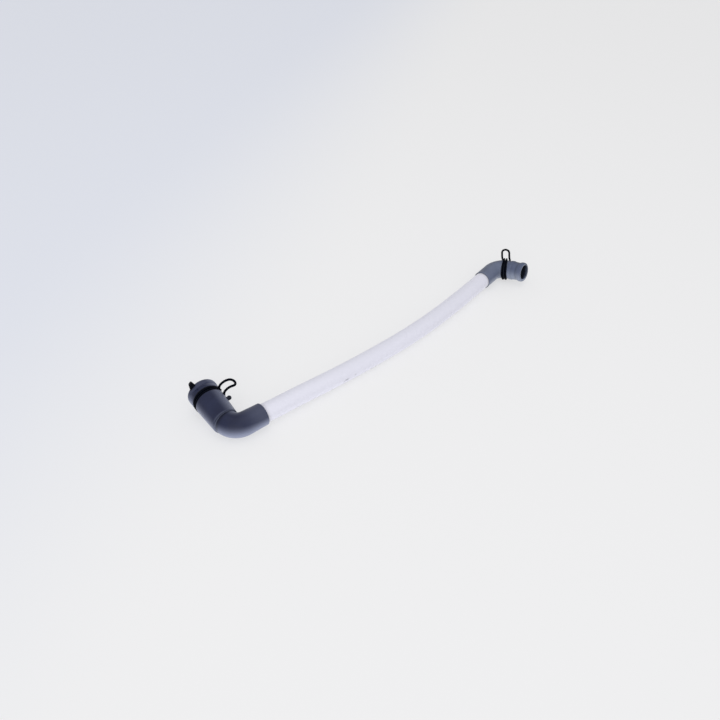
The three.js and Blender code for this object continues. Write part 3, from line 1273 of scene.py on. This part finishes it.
@dataclass
class SmallElbow(Elbow):
    """The elbow with the narrow end: a thin-lipped cuff, a bend, a raised ring, a neck and a beaded mouth."""

    line: ElbowLine = ElbowLine(
        lip=TUBE_END, heading=7.9, roll=10.2, cuff_length=0.0261,
        bend_radius=0.0171, sweep=90.3, arm_length=0.0251,
    )
    lip_radius: float = 0.0121
    bend_outside: float = 0.0122
    arm_radius: float = 0.0125
    ring_radius: float = 0.0131
    neck_radius: float = 0.0120
    bead_radius: float = 0.0133
    mouth_radius: float = 0.0122
    rounding: float = 0.00030
    section_points: int = 400
    wire_shade_reach: float = 0.0014
    # Painted shade in the neck's hollows, deep in the bore, on the right of the mouth's face and on the far
    # upper side.
    painted_shade_hollows: tuple[Mark, Mark] = (Mark(0.0078, 0.0014, 0.22), Mark(0.0148, 0.0010, 0.132))
    bore_painted_shade: float = 0.88
    bore_span: Span = (-0.0005, 0.004)
    face_painted_shade: float = 0.55
    face_length: float = 0.0012
    face_span: Span = (0.0, 0.7)
    back_painted_shade: float = 0.42
    back_way: Place = (0.5, 0.5, 0.7)
    back_span: Span = (0.55, 0.98)
    # Painted light: a reflection of the table below, light on the cuff and the bend, a highlight on the
    # mouth's lip.
    painted_reflection_underside: float = 0.55
    painted_light_cuff: float = 0.10
    painted_light_cuff_span: Span = (0.018, 0.024)
    lip_edge: Mark = Mark(0.0, 0.0010, 0.6)
    lip_ring: Mark = Mark(TUBE_BORE + 0.0006, 0.0008, 1.0)
    lip_span: Span = (-0.1, 0.6)
    finish: RubberFinish = GREY_RUBBER

    def corners(self) -> tuple[Corners, Corners]:
        """Gives the section's corners as radii and distances.

        Returns:
            The outside from the lip to the bend, and from the mouth on, the arm's outside and bore.
        """
        line = self.line
        outside = [
            (self.lip_radius - 0.0003, 0.0),
            (self.lip_radius, 0.0007),
            (self.lip_radius - 0.0001, 0.006),
            (self.bend_outside, line.cuff_length),
        ]
        arm = [
            (self.arm_radius, line.arm_length),
            (self.arm_radius, 0.0210),
            (self.ring_radius, 0.0199),
            (self.ring_radius, 0.0166),
            (self.arm_radius, 0.0153),
            (self.neck_radius + 0.0002, 0.0110),
            (self.neck_radius, 0.0083),
            (self.bead_radius - 0.0004, 0.0058),
            (self.bead_radius, 0.0044),
            (self.bead_radius, 0.0023),
            (self.mouth_radius + 0.0006, 0.0007),
            (self.mouth_radius - 0.0002, 0.0),
            (TUBE_BORE + 0.0007, 0.0),
            (TUBE_BORE, 0.0010),
            (TUBE_BORE, line.arm_length),
        ]
        return outside, arm

    def shade(self, section: Array, rings: Array) -> Array:
        """Paints shade in the bore, the neck, the ring's foot, the right of the mouth's face and the far
        upper side.

        Args:
            section: The elbow's section.
            rings: The elbow's closed grid of points.

        Returns:
            The shade of each point.
        """
        from_mouth = self.line.from_mouth(section)
        bore = in_bore(section) * smooth_rise(from_mouth, *self.bore_span)
        hollow = sum(mark.at(from_mouth) for mark in self.painted_shade_hollows) * ~in_bore(section)
        face = from_mouth < self.face_length
        right = smooth_rise(ring_spokes(rings)[..., 0], *self.face_span)
        # Painted shade on the right of the mouth's face and on the far upper side.
        back = smooth_rise(grid_normals(rings) @ unit(np.array(self.back_way)), *self.back_span)
        shade = (1.0 - self.bore_painted_shade * bore - hollow)[:, None]
        return shade * (1.0 - self.face_painted_shade * face[:, None] * right) * (1.0 - self.back_painted_shade * back)

    def bright_lip(self, section: Array, rings: Array) -> Array:
        """Gives how pale the left of the edge of the mouth's hole is, which catches the light."""
        near = self.lip_edge.at(self.line.from_mouth(section)) * self.lip_ring.at(section[:, 0])
        return near[:, None] * smooth_rise(-ring_spokes(rings)[..., 0], *self.lip_span)

    def pale(self, section: Array, rings: Array) -> Array:
        """Paints a table's reflection on the underside, a highlight on the hole's edge, and light on the cuff
        and the bend.

        Args:
            section: The elbow's section.
            rings: The elbow's closed grid of points.

        Returns:
            How pale each point is.
        """
        # Painted light on the cuff and the bend.
        cuff = smooth_rise(self.line.from_mouth(section), *self.painted_light_cuff_span)
        painted_light_bands = (self.painted_light_cuff * cuff * ~in_bore(section))[:, None]
        flanks = painted_reflection_flanks(section, rings, self.painted_reflection_underside, 0.0)
        return np.maximum(np.maximum(flanks, self.bright_lip(section, rings)), painted_light_bands)

    def build(self, clamp_line: Array, wire_radius: float) -> Piece:
        """Builds the moulding, pressed in under the clamp's wire, and dresses it.

        Args:
            clamp_line: The centre line of the clamp's wire.
            wire_radius: The wire's radius.

        Returns:
            The moulding.
        """
        piece = self.mould("small_elbow_moulding", clamp_line, wire_radius)
        dress(piece, self.finish.material())
        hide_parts("small_elbow")
        return piece


def turned_direction(arm: ArmFrame, degrees: float) -> Array:
    """Gives the direction out of an arm at an angle from its top towards its side."""
    angle = np.radians(degrees)
    return arm.up * np.cos(angle) + arm.side * np.sin(angle)


@dataclass
class Nub:
    """The small round-headed peg on the large elbow's side."""

    from_mouth: float = 0.0295
    angle: float = -78.0
    root: float = 0.0160
    reach: float = 0.0219
    radius: float = 0.0026
    neck_radius: float = 0.0019
    fillet: float = 0.0008
    fillet_from: float = 0.0010
    fillet_fade: float = 0.0006
    widest_fillet: float = 0.0012
    blend: int = 6
    top_share: float = 0.98
    neck_rings: int = 40
    ball_rings: int = 24
    sides: int = 40

    def build(self, line: ElbowLine) -> Piece:
        """Builds the nub as a neck that flares into a ball, and dresses it.

        The neck's radius is widened at the root by a fillet that fades with height. The radius at each height
        is the sixth root of the sum of the sixth powers of the neck's and the ball's.

        Args:
            line: The centre line of the elbow that it stands on.

        Returns:
            The nub.
        """
        arm = line.arm_frame(self.from_mouth)
        out = turned_direction(arm, self.angle)
        middle = self.reach - self.radius
        rise = np.sin(np.linspace(0.0, self.top_share, self.ball_rings)[1:] * np.pi / 2.0)
        neck_height = np.linspace(self.root, middle, self.neck_rings)
        height = np.concatenate([neck_height, middle + self.radius * rise])
        ball = np.sqrt(np.clip(self.radius**2 - (height - middle) ** 2, 0.0, None))
        fillet = self.fillet * np.exp(-(height - self.root - self.fillet_from) / self.fillet_fade)
        flare = np.minimum(fillet, self.widest_fillet)
        neck = np.where(height < middle, self.neck_radius + flare, 0.0)
        radii = (ball**self.blend + neck**self.blend) ** (1.0 / self.blend)
        centre = arm.place + out * height[:, None]
        points, quads = capped(swept_rings(centre, radii, arm.along, self.sides))
        piece = put_mesh("elbow_nub", points, quads)
        dress(piece, SHADED_NUB_RUBBER.material())
        return piece


@dataclass
class Ear:
    """The small dark pointed ear on the rim of the wide sleeve."""

    angle: float = 40.0
    root: float = 0.0160
    half_width: float = 0.0045
    height: float = 0.0098
    lean: float = -0.0042
    thickness: float = 0.0034
    inset: float = 0.0004
    narrowing: float = 0.5
    thinning: float = 0.35
    bluntness: int = 14
    tip_floor: float = 0.02
    roundness: float = 0.5
    rows: int = 40
    sides: int = 48

    def build(self, line: ElbowLine) -> Piece:
        """Builds the ear as a leaning plate whose width fades to a blunt tip, and dresses it.

        At each height the plate is a ring with rounded corners, whose cosine and sine are raised to the power
        roundness. Its width and thickness shrink in step with the height, by narrowing and thinning at the
        tip, times the root of one less the height's share to the power bluntness. Its middle leans over in
        step with the height too.

        Args:
            line: The centre line of the elbow that it stands on.

        Returns:
            The ear.
        """
        arm = line.arm_frame(0.0)
        out = turned_direction(arm, self.angle)
        wide = np.cross(out, arm.along)
        share = np.linspace(0.0, 1.0, self.rows)
        blunt = np.sqrt(np.clip(1.0 - share**self.bluntness, self.tip_floor, 1.0))
        width = self.half_width * (1.0 - self.narrowing * share) * blunt
        thick = 0.5 * self.thickness * (1.0 - self.thinning * share) * blunt
        turn = np.linspace(0.0, 2.0 * np.pi, self.sides, endpoint=False)
        waves = np.stack([np.cos(turn), np.sin(turn)])
        across, through = np.sign(waves) * np.abs(waves) ** self.roundness
        middle = arm.place - arm.along * (self.inset + 0.5 * self.thickness)
        centre = middle + out * (self.root + self.height * share)[:, None]
        centre = centre + wide * (self.lean * share)[:, None]
        rings = centre[:, None] + (width[:, None] * across)[..., None] * wide
        rings = rings + (thick[:, None] * through)[..., None] * arm.along
        points, quads = capped(rings)
        piece = put_mesh("rim_ear", points, quads)
        dress(piece, SHADED_EAR_RUBBER.material())
        return piece


# The clamps


@dataclass
class SpringClamp:
    """One bent spring wire: two turns round an elbow and a hairpin loop that stands off them.

    Round the ring, 0 degrees is the top of the arm and 90 degrees is its side away from the loop. The loop's
    points are pairs, how far out to the loop's side and how far up, from the arm's centre line. Lean and skew
    tip the ring, in degrees. The loop's rounded tip passes through points at arc_angles, from its straight
    legs. Blunt_end is how far into its last rounding, as a share of its radius, each free end is cut off.
    """

    name: str
    node: str
    wire_radius: float
    from_mouth: float
    loop_side: LoopSide
    lean: float
    skew: float
    ring_radius: float
    free_end_angle: float
    leave_angle: float
    spread_from: float
    open_from: float
    open_to: float
    half_gap: float
    end_half_gap: float
    loop_half_width: float
    loop_shift: float
    outer_leg_radius: float
    free_end_rise: float
    loop: Corners
    loop_centre: tuple[float, float]
    loop_tip: tuple[float, float]
    end_lean: float = 5.0
    end_step: float = 4.0
    arc_angles: tuple[float, float] = (20.0, 50.0)
    blunt_end: float = 0.97
    turns: int = 22
    steps: int = 900
    sides: int = 28
    finish: WireFinish = BLACK_WIRE

    def ring_frame(self, line: ElbowLine) -> ArmFrame:
        """Gives the ring's frame: the arm's, tipped by lean about its side and by skew about its upright.

        Args:
            line: The centre line of the elbow that it grips.

        Returns:
            The frame, with its side turned as loop_side says.
        """
        arm = line.arm_frame(self.from_mouth)
        lean, skew = np.radians([self.lean, self.skew])
        along = arm.along * np.cos(lean) + np.cross(arm.side, arm.along) * np.sin(lean)
        up = arm.up * np.cos(lean) + np.cross(arm.side, arm.up) * np.sin(lean)
        turned = along * np.cos(skew) + np.cross(up, along) * np.sin(skew)
        side = arm.side * np.cos(skew) + np.cross(up, arm.side) * np.sin(skew)
        return ArmFrame(arm.place, turned, up, side * self.loop_side.value)

    def half(self, ring: ArmFrame, sign: float) -> Array:
        """Gives the points of half of the wire, from a free end round the arm to near the loop's tip.

        Args:
            ring: The ring's frame.
            sign: One for the half nearer to the mouth, and minus one for the other.

        Returns:
            The points, one a row.
        """
        degrees = np.linspace(self.free_end_angle + self.end_step, self.leave_angle, self.turns + 1)
        spread = smooth_rise(degrees, self.spread_from, self.leave_angle)
        settle = smooth_rise(degrees, self.open_from, self.open_to)
        gap = self.end_half_gap + (self.half_gap - self.end_half_gap) * settle
        leg_offset = sign * self.loop_half_width + self.loop_shift
        offset = sign * gap * (1.0 - spread) + leg_offset * spread
        leg_radius = self.ring_radius if sign > 0.0 else self.outer_leg_radius
        radius = self.ring_radius + (leg_radius - self.ring_radius) * spread
        angle = np.radians(degrees)
        end_angle = np.radians(self.free_end_angle - self.end_lean)
        end_out = self.ring_radius + self.free_end_rise
        end_up = end_out * np.cos(end_angle)
        end = np.array([[-end_out * np.sin(end_angle), end_up, sign * self.end_half_gap]])
        turns = np.stack([-radius * np.sin(angle), radius * np.cos(angle), offset], axis=1)
        leg = np.array([(out, up, leg_offset) for out, up in self.loop])
        arc_angle = np.radians(self.arc_angles)[:, None]
        reach, width = np.sin(arc_angle), np.cos(arc_angle)
        arc = np.array([self.loop_centre]) * (1.0 - reach) + np.array([self.loop_tip]) * reach
        arc = np.concatenate([arc, sign * self.loop_half_width * width + self.loop_shift], axis=1)
        steps = np.concatenate([end, turns, leg, arc])
        return ring.place - steps[:, :1] * ring.side + steps[:, 1:2] * ring.up + steps[:, 2:] * ring.along

    def centre_line(self, line: ElbowLine) -> Array:
        """Gives the whole wire's centre line, from one free end to the other.

        Args:
            line: The centre line of the elbow that it grips.

        Returns:
            The line's samples, one a row, in even steps.
        """
        ring = self.ring_frame(line)
        out, up = self.loop_tip
        tip = ring.place - out * ring.side + up * ring.up + self.loop_shift * ring.along
        points = np.concatenate([self.half(ring, 1.0), tip[None], self.half(ring, -1.0)[::-1]])
        return route_curve(points, self.steps)

    def build(self, line: ElbowLine) -> Piece:
        """Builds the wire as a round sweep with rounded ends, and dresses it.

        Args:
            line: The centre line of the elbow that it grips.

        Returns:
            The wire.
        """
        ring = self.ring_frame(line)
        wire = self.centre_line(line)
        out, up = self.loop_tip
        stand = unit(up * ring.up - out * ring.side)
        ref = unit(ring.along + np.cross(ring.along, stand))
        run = run_along(wire)
        from_end = np.minimum(run, run[-1] - run)
        lack = np.clip(1.0 - from_end / self.wire_radius, 0.0, self.blunt_end)
        radii = self.wire_radius * np.sqrt(1.0 - lack**2)
        points, quads = capped(swept_rings(wire, radii, ref, self.sides))
        piece = put_mesh(self.name, points, quads)
        dress(piece, self.finish.material())
        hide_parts(self.node)
        return piece


LARGE_CLAMP = SpringClamp(
    name="large_clamp_wire",
    node="large_clamp",
    wire_radius=0.0014,
    from_mouth=0.0165,
    loop_side=LoopSide.NEAR,
    lean=0.0,
    skew=0.0,
    ring_radius=0.0163,
    free_end_angle=-56.0,
    leave_angle=284.0,
    spread_from=170.0,
    open_from=-56.0,
    open_to=60.0,
    half_gap=0.00175,
    end_half_gap=0.00175,
    loop_half_width=0.0058,
    loop_shift=-0.0021,
    outer_leg_radius=0.0160,
    free_end_rise=0.0018,
    loop=[(0.0157, 0.0082), (0.0170, 0.0110), (0.0202, 0.0132), (0.0242, 0.0142)],
    loop_centre=(0.0276, 0.0139),
    loop_tip=(0.0324, 0.0131),
)

SMALL_CLAMP = SpringClamp(
    name="small_clamp_wire",
    node="small_clamp",
    wire_radius=0.00135,
    from_mouth=0.0292,
    loop_side=LoopSide.AWAY,
    lean=2.7,
    skew=5.1,
    ring_radius=0.01375,
    free_end_angle=-14.0,
    leave_angle=322.0,
    spread_from=175.0,
    open_from=0.0,
    open_to=60.0,
    half_gap=0.0019,
    end_half_gap=0.0016,
    loop_half_width=0.0050,
    loop_shift=0.0,
    outer_leg_radius=0.01375,
    free_end_rise=0.0014,
    loop=[(0.0059, 0.0144), (0.0049, 0.0167), (0.0045, 0.0194)],
    loop_centre=(0.0044, 0.0233),
    loop_tip=(0.0043, 0.0283),
)


# The studio


def put_aimed(name: str, data: bpy.types.ID, place: Place, target: Place) -> Piece:
    """Puts a lamp or a camera into the scene.

    Args:
        name: Its name.
        data: The lamp's or the camera's own settings.
        place: Where it stands.
        target: The point that it faces.

    Returns:
        The lamp or the camera.
    """
    aimed = bpy.data.objects.new(name, data)
    aimed.location = place
    aimed.rotation_euler = (Vector(target) - Vector(place)).to_track_quat("-Z", "Y").to_euler()
    bpy.context.scene.collection.objects.link(aimed)
    return aimed


@dataclass(frozen=True)
class SoftLight:
    """A square soft light that faces a point."""

    name: str
    place: Place
    target: Place
    size: float
    power: float

    def build(self) -> Piece:
        """Makes the lamp.

        Returns:
            The lamp.
        """
        data = bpy.data.lights.new(self.name, "AREA")
        data.shape = "SQUARE"
        data.size = self.size
        data.energy = self.power
        return put_aimed(self.name, data, self.place, self.target)


@dataclass
class Studio:
    """The pale table, the soft light and the camera."""

    camera_place: Place = (-0.53493, -0.51080, 0.56239)
    camera_target: Place = (-0.04344, -0.01399, 0.0)
    lens: float = 36.57
    sensor: float = 36.0
    nearest_seen: float = 0.01
    table_half_size: float = 12.0
    table_colour: Colour = linear(240, 240, 241)
    cool_colour: Colour = linear(226, 229, 238)
    cool_way: Place = (-0.5, 0.866, 0.0)
    cool_span: Span = (0.06, 0.55)
    table_roughness: float = 0.6
    table_specular: float = 0.2
    table_glow: float = 0.68
    sky_colour: Colour = (1.0, 1.0, 1.0)
    sky_strength: float = 0.62
    lights: list[SoftLight] = field(default_factory=lambda: [
        SoftLight("front_light", (-1.8, -1.6, 1.1), (0.0, 0.0, 0.0), 2.0, 24.0),
        SoftLight("top_light", (-0.2, -0.2, 1.4), (0.0, 0.0, 0.0), 1.2, 4.4),
    ])

    def build_camera(self) -> None:
        """Puts the camera where the photograph was taken from."""
        data = bpy.data.cameras.new("photo_camera")
        data.lens = self.lens
        data.sensor_width = self.sensor
        data.clip_start = self.nearest_seen
        bpy.context.scene.camera = put_aimed("photo_camera", data, self.camera_place, self.camera_target)

    def build_table(self) -> None:
        """Makes the flat table top."""
        reach = self.table_half_size
        mesh = bpy.data.meshes.new("table_top")
        corners = [(-reach, -reach, 0.0), (reach, -reach, 0.0), (reach, reach, 0.0), (-reach, reach, 0.0)]
        mesh.from_pydata(corners, [], [(0, 1, 2, 3)])
        table = bpy.data.objects.new("table_top", mesh)
        bpy.context.scene.collection.objects.link(table)
        mesh.materials.append(self.table_material())

    def table_material(self) -> Material:
        """Builds the table's finish, matt and pale and in part of its own brightness.

        The camera sees its own brightness by table_glow, and by the rest the lit surface with the shadows on
        it. Reflections see its own brightness only.

        Returns:
            The material.
        """
        nodes = MaterialNodes("table_matt")
        nodes.shader.inputs["Roughness"].default_value = self.table_roughness
        nodes.shader.inputs["Specular IOR Level"].default_value = self.table_specular
        cool = nodes.ramp(self.cool_way, self.cool_span)
        colour = nodes.mixed(cool, self.table_colour, self.cool_colour)
        nodes.link(colour, nodes.shader.inputs["Base Color"])
        glow = nodes.add("ShaderNodeEmission")
        nodes.link(colour, glow.inputs["Color"])
        share = nodes.direct_share(self.table_glow)
        surface = nodes.chosen(share, nodes.shader.outputs["BSDF"], glow.outputs["Emission"])
        nodes.link(surface, nodes.tree.nodes["Material Output"].inputs["Surface"])
        return nodes.material

    def build_sky(self) -> None:
        """Lights the scene evenly, and shows the table's own colour where the camera looks past it."""
        world = bpy.data.worlds.new("studio")
        bpy.context.scene.world = world
        world.use_nodes = True
        world.node_tree.nodes.clear()
        nodes = Nodes(world.node_tree)
        light, backdrop = (nodes.add("ShaderNodeBackground") for _ in range(2))
        light.inputs["Color"].default_value = (*self.sky_colour, 1.0)
        light.inputs["Strength"].default_value = self.sky_strength
        backdrop.inputs["Color"].default_value = (*self.table_colour, 1.0)
        backdrop.inputs["Strength"].default_value = 1.0
        share = nodes.direct_share(1.0)
        surface = nodes.chosen(share, light.outputs["Background"], backdrop.outputs["Background"])
        nodes.link(surface, nodes.add("ShaderNodeOutputWorld").inputs["Surface"])

    def build(self) -> None:
        """Builds the table, the sky and the lamps."""
        bpy.context.scene.view_settings.view_transform = "Standard"
        self.build_table()
        self.build_sky()
        for light in self.lights:
            light.build()


def main() -> None:
    """Builds the hose, from its camera and tube to its clamps, then its studio."""
    logging.basicConfig(level=logging.INFO, format="%(message)s")
    studio = Studio()
    studio.build_camera()
    HoseTube().build()
    large, small = LargeElbow(), SmallElbow()
    large.build(LARGE_CLAMP.centre_line(large.line), LARGE_CLAMP.wire_radius)
    small.build(SMALL_CLAMP.centre_line(small.line), SMALL_CLAMP.wire_radius)
    Nub().build(large.line)
    Ear().build(large.line)
    LARGE_CLAMP.build(large.line)
    SMALL_CLAMP.build(small.line)
    studio.build()


if __name__ == "__main__":
    main()
